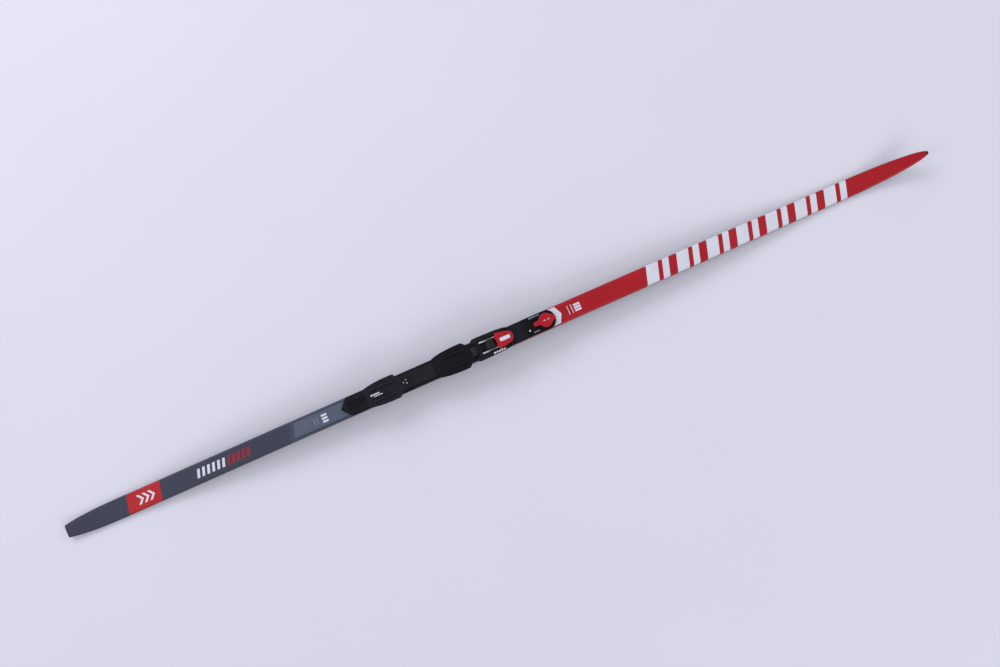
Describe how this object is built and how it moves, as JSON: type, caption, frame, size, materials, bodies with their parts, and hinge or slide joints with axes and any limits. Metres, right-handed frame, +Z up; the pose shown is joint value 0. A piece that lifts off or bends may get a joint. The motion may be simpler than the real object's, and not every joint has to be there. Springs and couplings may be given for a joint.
{
  "type": "cross country ski",
  "caption": "Long narrow classic ski with camber, upturned tip and grooved base, carrying a boot binding that a knob shifts along its rail.",
  "frame": {"origin": "middle of the footprint, on the snow, where the unloaded ski touches it", "axes": "+X from tail to tip, +Y to the skier's left, +Z up from the base"},
  "size_m": [2.014, 0.0564, 0.0647],
  "materials": {
    "base": "sintered running base, waxed",
    "carbon": "fibre laminate",
    "wood": "light laminated core",
    "sidewall": "satin",
    "topsheet": "gloss printed film, red forebody, grey tail, black middle",
    "black": "fine moulded grain",
    "rubber": "matt",
    "red": "satin moulded",
    "white": "satin moulded",
    "steel": "bright",
    "dark_steel": "dark coated"
  },
  "bodies": {
    "ski": {"base_sheet": "base", "lower_laminate": "carbon", "core": "wood", "sidewall_left": "sidewall", "sidewall_right": "sidewall", "upper_laminate": "carbon", "top_sheet": "topsheet", "tip_guard": "sidewall", "tail_guard": "sidewall", "rail_plate": "black", "switch_cover": "black", "nose_cap": "white", "detent_spring": "steel"},
    "knob": {"adjuster_knob": "red", "knob_gear": "black", "knob_screw": "dark_steel"},
    "binding": {"adjuster_rack": "black", "toe_plate": "black", "toe_housing": "black", "body_rivet_left": "dark_steel", "body_rivet_right": "dark_steel", "bar_block": "dark_steel", "flexor": "rubber", "lever_pin": "steel", "link_rail": "black", "link_rivet_left": "dark_steel", "link_rivet_right": "dark_steel"},
    "bail": {"bail_wire": "steel", "bar_claw_left": "dark_steel", "bar_claw_right": "dark_steel"},
    "lever": {"toe_lever": "red", "lever_inlay": "white"},
    "heel": {"heel_plate": "black"},
    "lock": {"size_lock": "black"}
  },
  "joints": [
    {"name": "binding_shift", "type": "slide", "parent": "ski", "child": "binding", "axis": [1, 0, 0], "range_m": [-0.006, 0.006]},
    {"name": "knob_turn", "type": "hinge", "parent": "ski", "child": "knob", "pos_m": [0.101, 0, 0.053], "axis": [0, 0, 1], "range_deg": [-61.5, 61.5]},
    {"name": "lever_lift", "type": "hinge", "parent": "binding", "child": "lever", "pos_m": [-0.0105, 0, 0.06], "axis": [0, -1, 0], "range_deg": [0, 75]},
    {"name": "bail_slide", "type": "slide", "parent": "binding", "child": "bail", "axis": [1, 0, 0], "range_m": [0, 0.00501]},
    {"name": "heel_size", "type": "slide", "parent": "binding", "child": "heel", "axis": [1, 0, 0], "range_m": [-0.014, 0.014]},
    {"name": "lock_turn", "type": "hinge", "parent": "heel", "child": "lock", "pos_m": [-0.2226, 0, 0.053], "axis": [0, 0, 1], "range_deg": [0, 90]}
  ],
  "couplings": [
    {"joint": "knob_turn", "follows": "binding_shift", "rad_per_m": -178.57},
    {"joint": "bail_slide", "follows": "lever_lift", "m_per_rad": 0.0038197}
  ]
}
